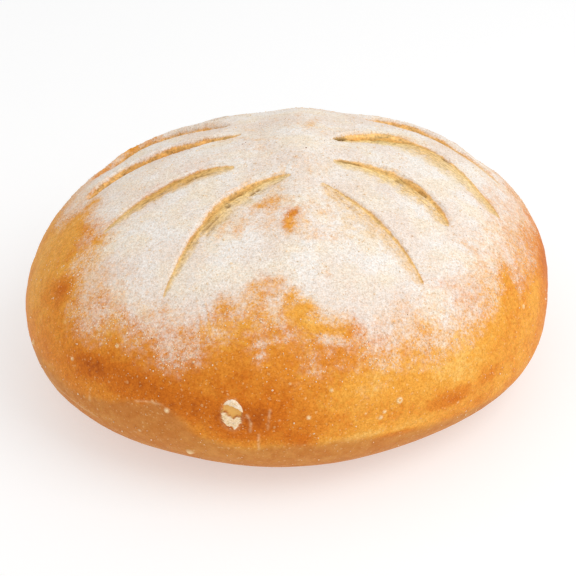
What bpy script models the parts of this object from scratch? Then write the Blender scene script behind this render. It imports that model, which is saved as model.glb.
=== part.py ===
"""A round country loaf, with a fern of slashes scored into its crust before baking.

Metres, +Z up. The origin is the middle of the loaf's footprint, on the surface that it
stands on. The fern's spine runs along Y, and its slashes fan out towards the front, -Y.
"""

import math
from collections import namedtuple

import bmesh
import bpy
import numpy as np
from mathutils import Vector, noise

# Driving dimensions.
RADIUS = 0.126  # mean radius of the widest section
HEIGHT = 0.1075  # top of the dome, without the swelling of the spine
WIDEST_HEIGHT = 0.0342  # height of the widest section
BASE_SHARE = 0.66  # radius of the flat underside, as a share of the widest
SIDE_FULLNESS = 1.8  # exponents of the dome's profile: 2 and 2 make an ellipse,
TOP_FULLNESS = 2.25  # and a larger one makes a fuller side or top

# The widest section isn't a true circle: (waves round it, share of the radius, a crest).
PLAN_WAVES = (
    (1, 0.0276, math.radians(169)),
    (2, 0.0296, math.radians(45)),
    (3, 0.0032, math.radians(22)),
    (4, 0.0118, math.radians(45)),
    (5, 0.0080, math.radians(-21)),
    (7, 0.0038, math.radians(16)),
)

# A slash bows from start to end, pulled towards bend. These points are shares of the
# widest section's radius in plan, counted from the top of the dome. Front to back.
Slash = namedtuple("Slash", "start bend end width depth")
LEFT_SLASHES = (
    Slash((-0.025, -0.22), (-0.23, -0.22), (-0.43, -0.675), 0.0110, 0.0042),
    Slash((-0.225, -0.11), (-0.43, -0.105), (-0.65, -0.32), 0.0085, 0.0036),
    Slash((-0.21, 0.165), (-0.69, 0.13), (-0.755, -0.05), 0.0075, 0.0034),
    Slash((-0.25, 0.32), (-0.71, 0.57), (-0.8, 0.2), 0.0070, 0.0032),
    Slash((-0.25, 0.56), (-0.5, 0.76), (-0.71, 0.5), 0.0080, 0.0034),
    Slash((-0.13, 0.73), (-0.28, 0.87), (-0.48, 0.79), 0.0080, 0.0032),
)
RIGHT_SLASHES = (
    Slash((0.08, -0.27), (0.29, -0.42), (0.44, -0.655), 0.0110, 0.0036),
    Slash((0.13, -0.105), (0.48, -0.135), (0.545, -0.365), 0.0120, 0.0046),
    Slash((0.13, 0.07), (0.44, 0.385), (0.77, -0.165), 0.0115, 0.0044),
    Slash((0.25, 0.46), (0.44, 0.5), (0.8, 0.15), 0.0080, 0.0034),
    Slash((0.22, 0.61), (0.44, 0.75), (0.69, 0.49), 0.0080, 0.0034),
    Slash((0.12, 0.75), (0.27, 0.89), (0.45, 0.81), 0.0080, 0.0032),
)
SLASHES = LEFT_SLASHES + RIGHT_SLASHES
# A slash's cross section, from the torn back edge to the front edge: (share of its half
# width in front of the centreline, share of its depth). The steep side is the back one.
SECTION = ((-1.0, 0.0), (-0.62, 1.0), (-0.10, 0.86), (0.50, 0.45), (1.0, 0.0))
CUTTER_RISE = 0.004  # how far the cutters stand out of the crust
SLASH_STATIONS = 16
END_TAPER = 0.12  # least width and depth of a slash, at its ends

# Relief of the uncut crust.
VALLEY_DEPTH = 0.0012  # it sinks towards each slash, so that it crowns between two
VALLEY_REACH = 0.0095
SPINE_HEIGHT = 0.0014  # it swells along the uncut middle of the fern
SPINE_REACH = 0.016
FERN_SHARE = 0.6  # the swelling ends at this share of the radius, over FERN_FADE
FERN_FADE = 0.06
LUMP_HEIGHT = 0.0010
LUMP_SPACING = 0.035

# Mesh.
SEGMENTS = 64
RINGS = 40
TUCK_ANGLE = math.radians(45)  # the part of the unit sphere that makes the tuck under the loaf
REFINE_MARGIN = 0.007  # the mesh is twice as fine this far past a slash

SHARP_ANGLE = math.radians(40)  # the torn edges of the slashes stay crisp

CRUST_COLOUR = (0.72, 0.36, 0.10, 1.0)
CRUST_ROUGHNESS = 0.6


def clear_scene():
    for obj in list(bpy.data.objects):
        bpy.data.objects.remove(obj)


def plan_share(azimuth):
    """The radius in each direction, as a share of RADIUS."""
    return 1 + sum(
        share * np.cos(waves * (azimuth - crest)) for waves, share, crest in PLAN_WAVES
    )


def dome(azimuth, latitude):
    """The smooth loaf, as points (n, 3).

    Latitude is 90 degrees at the top, 0 at the widest section and -90 at the edge of
    the underside.
    """
    sine = np.abs(np.sin(latitude))
    cosine = np.clip(np.cos(latitude), 0, 1)
    above = latitude >= 0
    share = np.where(
        above, cosine ** (2 / SIDE_FULLNESS), BASE_SHARE + (1 - BASE_SHARE) * cosine
    )
    rise = (HEIGHT - WIDEST_HEIGHT) * sine ** (2 / TOP_FULLNESS)
    height = WIDEST_HEIGHT + np.where(above, rise, -WIDEST_HEIGHT * sine)
    reach = RADIUS * share * plan_share(azimuth)
    return np.stack([reach * np.cos(azimuth), reach * np.sin(azimuth), height], 1)


def dome_normals(azimuth, latitude):
    step = 1e-3
    inner = np.clip(latitude, -math.pi / 2 + 2 * step, math.pi / 2 - 2 * step)
    along = dome(azimuth + step, inner) - dome(azimuth - step, inner)
    upward = dome(azimuth, inner + step) - dome(azimuth, inner - step)
    normals = np.cross(along, upward)
    return normals / np.linalg.norm(normals, axis=1, keepdims=True)


def plan_to_angles(plan):
    """(azimuth, latitude) of plan points, given as shares of the radius."""
    share = np.clip(np.linalg.norm(plan, axis=1), 1e-6, 1)
    return np.arctan2(plan[:, 1], plan[:, 0]), np.arccos(share ** (SIDE_FULLNESS / 2))


def angles_to_plan(azimuth, latitude):
    share = np.clip(np.cos(np.maximum(latitude, 0)), 0, 1) ** (2 / SIDE_FULLNESS)
    return np.stack([share * np.cos(azimuth), share * np.sin(azimuth)], 1)


def sphere_to_angles(directions):
    """(azimuth, latitude) of the loaf's points that unit vectors stand for."""
    azimuth = np.arctan2(directions[:, 1], directions[:, 0])
    latitude = np.arcsin(np.clip(directions[:, 2], -1, 1))
    tucked = np.maximum(latitude / TUCK_ANGLE, -1) * math.pi / 2
    return azimuth, np.where(latitude < 0, tucked, latitude)


def slash_path(slash, steps):
    """The slash's centreline in plan, and its direction at each point."""
    t = np.linspace(0, 1, steps + 1)[:, None]
    start, bend, end = (np.array(p) for p in (slash.start, slash.bend, slash.end))
    line = (1 - t) ** 2 * start + 2 * t * (1 - t) * bend + t**2 * end
    heading = 2 * (1 - t) * (bend - start) + 2 * t * (end - bend)
    return line, heading


def slash_distance(slash, plan):
    """Metres in plan from the slash's centreline."""
    line, _ = slash_path(slash, SLASH_STATIONS)
    nearest = np.full(len(plan), np.inf)
    for a, b in zip(line, line[1:]):
        t = np.clip((plan - a) @ (b - a) / ((b - a) @ (b - a)), 0, 1)
        nearest = np.minimum(nearest, np.linalg.norm(plan - a - t[:, None] * (b - a), axis=1))
    return nearest * RADIUS


def lumps(points):
    return np.array([noise.noise(Vector(p / LUMP_SPACING)) for p in points])


def crust(azimuth, latitude):
    """Points of the uncut crust: the smooth loaf and its relief."""
    points = dome(azimuth, latitude)
    plan = angles_to_plan(azimuth, latitude)
    nearest = np.min([slash_distance(slash, plan) for slash in SLASHES], axis=0)
    spine = np.exp(-((plan[:, 0] * RADIUS / SPINE_REACH) ** 2))
    fern_end = 1 / (1 + np.exp((np.linalg.norm(plan, axis=1) - FERN_SHARE) / FERN_FADE))
    relief = SPINE_HEIGHT * spine * fern_end
    relief -= VALLEY_DEPTH * np.exp(-((nearest / VALLEY_REACH) ** 2))
    relief = np.where(latitude > 0, relief, 0)
    standing = np.clip(points[:, 2] / WIDEST_HEIGHT, 0, 1)
    relief += LUMP_HEIGHT * lumps(points) * standing
    return points + dome_normals(azimuth, latitude) * relief[:, None]


def vertex_array(mesh):
    return np.array([v.co for v in mesh.verts])


def close_underside(mesh):
    """Takes off the bottom of the unit sphere and closes it with one flat face."""
    geometry = mesh.verts[:] + mesh.edges[:] + mesh.faces[:]
    height = -math.sin(TUCK_ANGLE)
    bmesh.ops.bisect_plane(
        mesh, geom=geometry, dist=1e-5, plane_co=(0, 0, height), plane_no=(0, 0, -1), clear_outer=True
    )
    rim = [e for e in mesh.edges if e.is_boundary]
    bmesh.ops.contextual_create(mesh, geom=rim)
    mesh.verts.index_update()


def refine_near_slashes(mesh):
    """Halves the edges that lie near a slash."""
    azimuth, latitude = sphere_to_angles(vertex_array(mesh))
    plan = angles_to_plan(azimuth, latitude)
    near = np.zeros(len(plan), bool)
    for slash in SLASHES:
        near |= slash_distance(slash, plan) < slash.width / 2 + REFINE_MARGIN
    mesh.verts.ensure_lookup_table()
    chosen = [e for e in mesh.edges if all(near[v.index] for v in e.verts)]
    bmesh.ops.subdivide_edges(mesh, edges=chosen, cuts=1, use_grid_fill=True)
    for vertex in mesh.verts:
        vertex.co.normalize()
    mesh.verts.index_update()


def finish_mesh(mesh, name):
    bmesh.ops.recalc_face_normals(mesh, faces=mesh.faces)
    data = bpy.data.meshes.new(name)
    mesh.to_mesh(data)
    mesh.free()
    return data


def uncut_loaf():
    mesh = bmesh.new()
    bmesh.ops.create_uvsphere(mesh, u_segments=SEGMENTS, v_segments=RINGS, radius=1)
    refine_near_slashes(mesh)
    close_underside(mesh)
    points = crust(*sphere_to_angles(vertex_array(mesh)))
    for vertex, point in zip(mesh.verts, points):
        vertex.co = point
    return finish_mesh(mesh, "uncut_loaf")


def add_slash_cutter(mesh, slash):
    """A closed bar that follows the slash, with the slash's cross section below it."""
    plan, heading = slash_path(slash, SLASH_STATIONS)
    azimuth, latitude = plan_to_angles(plan)
    centres = crust(azimuth, latitude)
    normals = dome_normals(azimuth, latitude)
    along = np.gradient(centres, axis=0)
    forward = np.cross(along, normals)
    forward /= np.linalg.norm(forward, axis=1, keepdims=True)
    forward *= np.where(heading[:, :1] > 0, 1, -1)
    t = np.linspace(0, 1, SLASH_STATIONS + 1)
    taper = np.maximum(np.sqrt(np.sin(math.pi * t).clip(0, 1)), END_TAPER)
    rings = []
    for centre, normal, front, scale in zip(centres, normals, forward, taper):
        half = slash.width / 2 * scale
        below = [(half * u, -slash.depth * scale * v) for u, v in SECTION]
        outline = [(-half, CUTTER_RISE), *below, (half, CUTTER_RISE)]
        rings.append([mesh.verts.new(centre + front * u + normal * v) for u, v in outline])
    for ring, following in zip(rings, rings[1:]):
        for i in range(len(ring)):
            j = (i + 1) % len(ring)
            mesh.faces.new((ring[i], ring[j], following[j], following[i]))
    mesh.faces.new(rings[0])
    mesh.faces.new(rings[-1])


def slash_cutters():
    mesh = bmesh.new()
    for slash in SLASHES:
        add_slash_cutter(mesh, slash)
    return finish_mesh(mesh, "slash_cutters")


def add_object(name, data):
    obj = bpy.data.objects.new(name, data)
    bpy.context.scene.collection.objects.link(obj)
    return obj


def crust_material():
    material = bpy.data.materials.new("crust")
    material.use_nodes = True
    shader = material.node_tree.nodes["Principled BSDF"]
    shader.inputs["Base Color"].default_value = CRUST_COLOUR
    shader.inputs["Roughness"].default_value = CRUST_ROUGHNESS
    shader.inputs["Metallic"].default_value = 0.0
    return material


def centre_on_footprint(data):
    """Moves the mesh so that the origin is in the middle of its plan."""
    points = np.array([v.co for v in data.vertices])
    middle = (points.min(0) + points.max(0)) / 2
    for vertex in data.vertices:
        vertex.co.x -= middle[0]
        vertex.co.y -= middle[1]


def main():
    clear_scene()
    uncut = add_object("uncut_loaf", uncut_loaf())
    cutters = add_object("slash_cutters", slash_cutters())
    scoring = uncut.modifiers.new("scoring", "BOOLEAN")
    scoring.operation = "DIFFERENCE"
    scoring.object = cutters
    evaluated = uncut.evaluated_get(bpy.context.evaluated_depsgraph_get())
    scored = bpy.data.meshes.new_from_object(evaluated)
    scored.materials.clear()
    scored.materials.append(crust_material())
    centre_on_footprint(scored)
    scored.shade_smooth()
    scored.set_sharp_from_angle(angle=SHARP_ANGLE)
    add_object("loaf", scored)
    bpy.data.objects.remove(uncut)
    bpy.data.objects.remove(cutters)


main()
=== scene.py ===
"""Dresses a round country loaf: its baked crust, its torn slashes and the flour on it.

Metres, +Z up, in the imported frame. The slashes fan out from a spine along Y towards the
front of the loaf, -Y. Places on the crust are given by azimuth and latitude, or in plan
as shares of the widest section's radius.
"""

import math
from collections import namedtuple

import bpy
import numpy as np
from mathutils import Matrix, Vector, noise


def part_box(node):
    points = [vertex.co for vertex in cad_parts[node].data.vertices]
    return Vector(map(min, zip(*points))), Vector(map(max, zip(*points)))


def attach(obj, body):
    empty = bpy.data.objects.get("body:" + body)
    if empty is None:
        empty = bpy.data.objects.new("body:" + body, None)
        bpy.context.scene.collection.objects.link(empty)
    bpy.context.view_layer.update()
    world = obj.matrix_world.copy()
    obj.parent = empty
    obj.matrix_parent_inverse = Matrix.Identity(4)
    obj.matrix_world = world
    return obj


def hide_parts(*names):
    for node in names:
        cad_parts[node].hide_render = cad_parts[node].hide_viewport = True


bl_info = {
    "name": "Country Loaf",
    "version": (1, 0, 0),
    "blender": (4, 5, 0),
    "location": "3D View > Sidebar > Loaf",
    "description": "Makes a floured country loaf around its packed solid",
    "category": "Add Mesh",
}

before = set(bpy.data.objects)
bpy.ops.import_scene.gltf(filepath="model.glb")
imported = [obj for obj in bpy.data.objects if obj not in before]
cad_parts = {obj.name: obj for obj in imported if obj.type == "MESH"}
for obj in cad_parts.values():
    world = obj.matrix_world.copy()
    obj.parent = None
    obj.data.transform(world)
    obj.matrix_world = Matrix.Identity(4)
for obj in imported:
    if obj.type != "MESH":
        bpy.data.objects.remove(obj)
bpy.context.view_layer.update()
LOW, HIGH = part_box("loaf")
WIDTH = HIGH[0] - LOW[0]
HEIGHT = HIGH[2] - LOW[2]

# Shape of the uncut loaf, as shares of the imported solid's size.
RADIUS = 0.504 * WIDTH  # mean radius of the widest section
DOME_HEIGHT = 0.980 * HEIGHT  # without the swelling of the spine
WIDEST_HEIGHT = 0.314 * HEIGHT
BASE_SHARE = 0.66  # radius of the flat underside, as a share of the widest
SIDE_FULLNESS = 1.8  # exponents of the dome's profile: 2 and 2 make an ellipse,
TOP_FULLNESS = 2.25  # and a larger one makes a fuller side or top
FINE_FROM = math.radians(-38)  # the unit sphere has a finer mesh above this latitude
TUCK_ANGLE = math.radians(45)  # latitude of the unit sphere where the underside starts
# Rounds of a finer mesh: how far behind a slash and in front of it, in its reaches, and
# the margin round a blister or crease, in metres.
FINE_ROUNDS = ((1.7, 1.15, 0.0007), (1.3, 0.42, 0.0002))
FERN_END = 0.6  # share of the radius where the spine's swelling fades
FERN_FADE = 0.06
UNDERSIDE_PITS = 0.00035

# The widest section isn't a true circle: (waves round it, share of the radius, a crest).
PLAN_WAVES = (
    (1, 0.0276, math.radians(169)),
    (2, 0.0296, math.radians(45)),
    (3, 0.0032, math.radians(22)),
    (4, 0.0118, math.radians(45)),
    (5, 0.0080, math.radians(-21)),
    (7, 0.0038, math.radians(16)),
)

# Where the back of the dome sags: (middle in plan, half sizes, drop in metres).
SAGS = (
    ((-0.45, 0.58), (0.17, 0.16), 0.0016), ((-0.74, 0.33), (0.08, 0.12), 0.0024),
    ((-0.13, 0.74), (0.07, 0.18), 0.001), ((0.22, 0.7), (0.11, 0.2), 0.0017),
    ((0.71, 0.4), (0.09, 0.14), 0.0017),
)

# A slash bows from start to end, pulled towards bend. These points are in plan, counted
# from the top of the dome. Back is how far the gash reaches behind that line, depth how
# deep it is and floor how far the smooth torn floor runs on in front of the line, each
# at the slash's start, halfway and at its end. Ear is how far the crust behind stands
# above the crust in front, and bare the share of the floor that no flour dulls. First the
# slashes on the left, from the front to the back, and then those on the right.
Slash = namedtuple("Slash", "start bend end back depth floor ear bare")
SLASHES = (
    Slash((-0.025, -0.22), (-0.23, -0.22), (-0.43, -0.675),
          (0.005, 0.0052, 0.0026), (0.0012, 0.0011, 0.0004), (0.0058, 0.0074, 0.0026), 0.001, 0.85),
    Slash((-0.215, -0.125), (-0.43, -0.135), (-0.65, -0.325),
          (0.007, 0.0064, 0.0046), (0.0004, 0.0004, 0.0004), (0.006, 0.0056, 0.004), 0.0007, 0.9),
    Slash((-0.21, 0.165), (-0.69, 0.13), (-0.755, -0.05),
          (0.0046, 0.004, 0.004), (0.0032, 0.003, 0.002), (0.003, 0.003, 0.0034), 0.0011, 0.8),
    Slash((-0.25, 0.32), (-0.71, 0.57), (-0.8, 0.2),
          (0.0066, 0.006, 0.005), (0.005, 0.005, 0.0036), (0.0026, 0.003, 0.0034), 0.0034, 0.95),
    Slash((-0.25, 0.56), (-0.5, 0.76), (-0.71, 0.5),
          (0.004, 0.004, 0.004), (0.0044, 0.0042, 0.004), (0.004, 0.004, 0.004), 0.0018, 0.8),
    Slash((-0.13, 0.73), (-0.28, 0.87), (-0.48, 0.79),
          (0.004, 0.004, 0.004), (0.004, 0.0038, 0.0036), (0.004, 0.004, 0.004), 0.0018, 0.8),
    Slash((0.08, -0.27), (0.29, -0.42), (0.44, -0.655),
          (0.003, 0.0036, 0.003), (0.0007, 0.0007, 0.0004), (0.011, 0.014, 0.01), 0.0006, 0.62),
    Slash((0.13, -0.105), (0.48, -0.135), (0.545, -0.365),
          (0.008, 0.0056, 0.0048), (0.0012, 0.0011, 0.0008), (0.01, 0.01, 0.012), 0.001, 0.85),
    Slash((0.13, 0.07), (0.44, 0.385), (0.77, -0.165),
          (0.0048, 0.0048, 0.0048), (0.0042, 0.0007, 0.0002), (0.008, 0.016, 0.017), 0.001, 0.95),
    Slash((0.25, 0.46), (0.44, 0.5), (0.8, 0.15),
          (0.0056, 0.0038, 0.0034), (0.004, 0.0013, 0.0004), (0.0034, 0.005, 0.008), 0.0015, 0.7),
    Slash((0.22, 0.61), (0.44, 0.75), (0.69, 0.49),
          (0.004, 0.004, 0.004), (0.0044, 0.0042, 0.004), (0.0042, 0.0042, 0.0042), 0.0018, 0.8),
    Slash((0.12, 0.75), (0.27, 0.89), (0.45, 0.81),
          (0.004, 0.004, 0.004), (0.004, 0.0038, 0.0036), (0.0042, 0.0042, 0.0042), 0.0018, 0.8),
)
PATH_STEPS = 20  # straight pieces that stand in for a slash's bow

# A slash's cross section. Each row holds a point of the uncut crust and where tearing
# puts it. Places run from -1 at the back edge of the gash to 1 at the front of its
# floor, and heights are in depths of the gash.
SECTION = (
    (-2.3, -2.3, 0.0), (-1.8, -1.66, 0.07), (-1.4, -1.2, 0.2), (-1.15, -0.98, 0.17),
    (-0.95, -0.9, -0.12), (-0.75, -0.78, -0.5), (-0.56, -0.64, -0.88), (-0.48, -0.58, -1.16),
    (-0.4, -0.49, -1.2), (-0.3, -0.38, -0.94), (-0.1, -0.12, -0.78), (0.15, 0.15, -0.62),
    (0.45, 0.45, -0.4), (0.75, 0.76, -0.2), (0.92, 0.96, -0.13), (1.02, 1.01, -0.02),
    (1.3, 1.29, 0.03), (1.7, 1.7, 0.0), (2.3, 2.3, 0.0),
)
LIP_EDGE = -1.02  # this and the next are places in the cross section
CREVICE = -0.44
DEEP_GASH = 0.0016  # the depth from which a gash has its full wall and crevice
CRACK_DEPTH = 0.0009
# How high the dough swells behind a slash, how far back, and how far in front it sinks.
RIDGE_HEIGHT = 0.0003
RIDGE_REACH = 0.007
STEP_REACH = 0.011

# Cracks along the slashes, carved a little and darkened with painted shade: (number of
# the slash, shares of the way along where it starts and ends, place in the cross section,
# half width in metres, how dark the painted shade is).
CRACKS = (
    (0, 0.08, 0.74, 0.66, 0.0007, 0.45), (0, 0.27, 0.37, 0.22, 0.0007, 1.0),
    (0, 0.5, 0.53, 0.02, 0.0007, 1.0), (0, 0.38, 0.46, -0.4, 0.0007, 0.5),
    (0, 0.6, 0.7, 0.1, 0.0006, 0.6), (1, 0.18, 0.4, 0.06, 0.0006, 0.6),
    (1, 0.56, 0.6, 0.0, 0.0007, 0.9), (1, 0.68, 0.73, -0.1, 0.0005, 0.6),
    (2, 0.5, 0.56, -0.4, 0.0008, 0.7), (2, 0.7, 0.76, -0.35, 0.0008, 0.7),
    (6, 0.17, 0.21, 0.16, 0.0007, 0.6), (6, 0.28, 0.32, 0.22, 0.0007, 0.6),
    (7, 0.02, 0.16, -0.4, 0.0007, 0.6), (7, 0.4, 0.46, -0.1, 0.0009, 0.9),
    (7, 0.55, 0.6, 0.0, 0.0007, 0.6), (7, 0.58, 0.66, -0.36, 0.0005, 0.7),
    (8, 0.0, 0.1, -0.44, 0.0009, 0.9), (8, 0.24, 0.36, -0.2, 0.0007, 1.0),
    (8, 0.66, 0.7, -0.4, 0.0008, 0.9),
)

# Where the flour lies: (azimuth in plan, latitudes where it starts to thin out and where
# it gives out), in degrees.
FLOUR_RIM = (
    (4, 46, 15), (30, 42, 16), (65, 34, 12), (100, 42, 18), (135, 36, 14), (165, 44, 18),
    (184, 46, 24), (200, 50, 30), (212, 50, 24), (219, 48, 13), (236, 44, 13), (248, 42, 13),
    (254, 46, 22), (260, 48, 37), (268, 47, 36), (274, 43, 30), (280, 39, 22), (290, 38, 14),
    (301, 40, 9), (309, 42, 12), (317, 46, 16), (331, 47, 17), (346, 50, 16),
)
# Dusted and bare patches: (middle in plan, x and y, half sizes, change of cover).
FLOUR_PATCHES = (
    (0.025, -0.785, 0.032, 0.018, -0.75), (0.14, -0.842, 0.07, 0.014, -0.3),
    (0.05, -0.868, 0.11, 0.022, 0.48), (0.11, -0.925, 0.16, 0.03, 0.15),
    (-0.12, -0.912, 0.018, 0.012, 0.55), (-0.1, -0.877, 0.06, 0.009, 0.4),
    (-0.772, -0.487, 0.018, 0.03, -0.7), (-0.155, -0.697, 0.018, 0.01, -0.6),
    (-0.077, -0.7, 0.024, 0.018, -0.6), (-0.03, -0.745, 0.022, 0.014, -0.6),
    (-0.016, -0.44, 0.024, 0.028, -0.66), (-0.036, -0.48, 0.016, 0.03, -0.6),
    (-0.05, -0.52, 0.012, 0.026, -0.5), (-0.1, -0.37, 0.09, 0.04, -0.28),
    (-0.14, -0.43, 0.12, 0.08, -0.47), (-0.23, -0.47, 0.08, 0.05, -0.32),
    (0.0, -0.43, 0.2, 0.11, -0.18), (0.45, -0.42, 0.14, 0.12, -0.15), (0.6, 0.24, 0.15, 0.03, -0.4),
    (0.72, -0.1, 0.06, 0.16, -0.15), (-0.3, -0.8, 0.05, 0.02, -0.1),
    (-0.11, -0.765, 0.06, 0.03, 0.32), (-0.78, -0.22, 0.055, 0.1, -0.9),
    (-0.73, -0.1, 0.03, 0.06, -0.6), (-0.66, -0.36, 0.08, 0.035, -0.5),
    (-0.21, 0.12, 0.07, 0.06, -0.35), (-0.1, 0.04, 0.06, 0.05, -0.35),
    (0.02, 0.32, 0.1, 0.12, -0.28), (0.04, 0.15, 0.07, 0.06, -0.3),
    (0.075, -0.42, 0.015, 0.015, -0.5), (0.095, -0.67, 0.03, 0.03, -0.45),
    (0.74, -0.5, 0.03, 0.08, -0.5), (0.62, -0.43, 0.02, 0.02, -0.5),
    (-0.1, -0.33, 0.13, 0.09, -0.3), (-0.24, -0.55, 0.05, 0.16, -0.12),
    (0.1, -0.6, 0.1, 0.08, -0.1), (0.09, -0.5, 0.14, 0.09, -0.4), (-0.6, -0.29, 0.09, 0.05, -0.16),
    (0.38, -0.5, 0.05, 0.09, 0.25), (-0.53, -0.66, 0.05, 0.05, 0.2),
    (-0.062, -0.69, 0.05, 0.035, -0.3), (0.36, -0.7, 0.08, 0.07, -0.12),
    (-0.24, -0.755, 0.035, 0.05, -0.5), (-0.37, -0.78, 0.09, 0.045, -0.14),
    (-0.56, -0.72, 0.07, 0.06, -0.3), (-0.635, -0.53, 0.05, 0.06, -0.14),
    (-0.08, -0.82, 0.09, 0.03, 0.45), (0.29, -0.905, 0.06, 0.02, 0.2),
    (0.35, -0.79, 0.05, 0.08, -0.22), (0.44, -0.77, 0.05, 0.05, -0.3),
    (0.16, -0.82, 0.08, 0.03, -0.25), (-0.62, 0.47, 0.1, 0.07, -0.55),
    (-0.78, 0.26, 0.05, 0.08, -0.25), (-0.2, -0.075, 0.03, 0.01, -0.45),
    (-0.36, -0.53, 0.07, 0.07, 0.45), (-0.67, -0.27, 0.05, 0.05, -0.3),
    (-0.02, -0.37, 0.06, 0.03, 0.3),
)

BASE_BAKE = 0.42
UNDERSIDE_BAKE = 0.22  # how much browner the underside is
# Browner and paler zones: (azimuth and latitude of the middle, half sizes, change of
# the bake), with the angles in degrees.
BAKE_ZONES = (
    (-108, 11, 34, 14, 0.28), (-122, 12, 10, 6, 0.16), (-109, 13, 8, 5, -0.16),
    (-88, 10, 8, 8, -0.12), (-80, -5, 14, 6, -0.26), (-160, 60, 20, 8, 0.3), (172, 56, 14, 8, 0.15),
    (-28, 62, 14, 9, 0.08), (14, 60, 12, 6, 0.15), (0, 82, 200, 32, -0.26),
    (-50, 20, 20, 12, -0.06), (-4, 12, 18, 16, 0.26), (-86, 35, 10, 7, -0.15),
    (-98, 1, 10, 7, 0.16), (-57, 1, 5, 3, 0.36), (-69, -12, 4, 3, 0.36), (-89, -4, 3, 5, 0.3),
    (-46, 3, 3, 2, 0.26), (-94, 62, 5, 4, 0.3), (-149, 24, 3, 4, 0.38), (-132, 10, 5, 4, 0.22),
    (-35, 10, 26, 12, -0.04), (-38, 14, 13, 7, 0.12), (-58, 10, 9, 6, -0.22),
    (-73, 13, 10, 7, -0.22), (-26, 15, 8, 7, -0.14), (-100, 7, 9, 7, 0.22), (-117, 8, 12, 5, 0.1),
    (-146, 6, 12, 10, 0.08), (-8, 2, 12, 12, 0.16), (-165, 22, 24, 14, -0.12),
    (-160, -2, 16, 8, 0.1), (40, 10, 40, 20, 0.16), (110, 6, 30, 16, 0.26), (160, 14, 14, 10, -0.1),
)
# Upper edge of the paler, steamed band low on the side: (azimuth, latitude) in degrees.
STEAM_EDGE = (
    (-165, -7), (-150, 0.5), (-140, 0), (-132, 0.3), (-124, 3.2), (-117, 6), (-114, 4.8),
    (-111.5, 2.5), (-108, -3.5), (-103, -9), (-98, -9.5), (-94.5, -6), (-88, -6.5), (-82, -5),
    (-72, -11.5), (-62, -15), (-40, -22), (0, -18), (60, -9), (120, -14), (160, -11),
)
STEAM_SHARPEST = -124  # the azimuth in degrees where that edge is sharpest

# Blisters of the skin: (azimuth, latitude, in degrees, radius and height in metres).
BLISTERS = (
    (-73.9, 2.3, 0.0014, 0.0005), (-73.1, 3.8, 0.0012, 0.0004), (-88.2, 6.0, 0.0013, 0.0005),
    (-83.8, 13.6, 0.0011, 0.0004), (-31.4, 15.9, 0.0014, 0.0005), (-127.7, 19.2, 0.0013, 0.0004),
    (-137.5, 9.2, 0.0012, 0.0004), (-114.9, 4.7, 0.0016, 0.0005), (-120.8, -10.3, 0.001, 0.0004),
    (-154.0, 1.2, 0.0022, 0.0012), (-111.3, -23.5, 0.0024, 0.0011),
)
RING_BLISTER = (-69.8, 6.2, 0.0015, 0.0005)
SPARE_BLISTERS = 60  # scattered at random between these latitudes
SPARE_LATITUDES = (-25, 24)
SPARE_RADII = (0.0005, 0.0009)

# Creases where the skin stretched, as (azimuth, latitude) in degrees.
CREASES = (
    ((-132.0, 2.7), (-132.1, -0.8)), ((-121.5, 5.0), (-118.3, 6.1), (-115.7, 6.1), (-114.6, 4.2)),
    ((-95.4, 8.6), (-95.8, 2.6)), ((-99.6, 6.9), (-98.9, 4.6), (-99.0, 1.8)),
    ((-97.5, 1.0), (-97.5, -10.2)), ((-152.0, -14.0), (-140.0, -11.0), (-131.0, -15.0)),
    ((62.0, 4.0), (74.0, 7.0), (80.0, 3.0)), ((140.0, 8.0), (141.0, -4.0)),
    ((-119.3, 45.7), (-116.3, 40.0), (-112.1, 32.0), (-111.0, 29.0)),
    ((-117.2, 45.0), (-114.4, 40.0), (-110.8, 34.0), (-108.5, 27.0)),
)
CREASE_WIDTH = 0.0005
CREASE_HEIGHT = 0.00018

# The burst blister, in half sizes right and up from its middle: the upper edge of the
# skin that still hides its lower part, and its lower edge.
BURST_MIDDLE = (-102.5, 6.4)
BURST_SIZE = (0.0042, 0.0066)
BURST_DEPTH = 0.0009
SKIN_TOP = ((-1.0, 0.22), (-0.45, 0.13), (-0.09, -0.05), (0.18, -0.24), (0.40, 0.02), (1.0, -0.04))
SKIN_BOTTOM = ((-1.0, -0.15), (-0.70, -0.58), (-0.45, -0.80), (0.0, -0.74), (0.35, -1.0), (1.0, -0.40))


def smooth_step(value):
    value = np.clip(value, 0, 1)
    return value * value * (3 - 2 * value)


def hump(distance):
    """1 at the middle, falling smoothly to 0 at a distance of 1."""
    return np.clip(1 - distance**2, 0, 1) ** 2


def bell(distance, width):
    """1 at a distance of 0, falling off on both sides over that width."""
    return np.exp(-((distance / width) ** 2))


def plan_share(azimuth):
    """The radius in each direction, as a share of the mean one."""
    return 1 + sum(
        share * np.cos(waves * (azimuth - crest)) for waves, share, crest in PLAN_WAVES
    )


def open_dome(azimuth, latitude, inward):
    """The smooth loaf before it is centred on its footprint, as points (n, 3).

    Latitude is 90 degrees at the top, 0 at the widest section and -90 at the edge of
    the underside, and inward goes on from 1 there to 0 in the middle of the underside.
    """
    sine = np.abs(np.sin(latitude))
    cosine = np.clip(np.cos(latitude), 0, 1)
    above = latitude >= 0
    tuck = BASE_SHARE + (1 - BASE_SHARE) * cosine
    share = np.where(above, cosine ** (2 / SIDE_FULLNESS), tuck) * inward
    rise = (DOME_HEIGHT - WIDEST_HEIGHT) * sine ** (2 / TOP_FULLNESS)
    height = WIDEST_HEIGHT + np.where(above, rise, -WIDEST_HEIGHT * sine)
    reach = RADIUS * share * plan_share(azimuth)
    return np.stack([reach * np.cos(azimuth), reach * np.sin(azimuth), height], 1)


def footprint_middle():
    azimuth = np.linspace(-math.pi, math.pi, 721)
    rim = open_dome(azimuth, np.zeros(721), np.ones(721))
    return (rim.min(0) + rim.max(0)) / 2 * np.array((1, 1, 0))


FOOTPRINT_MIDDLE = footprint_middle()


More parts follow.
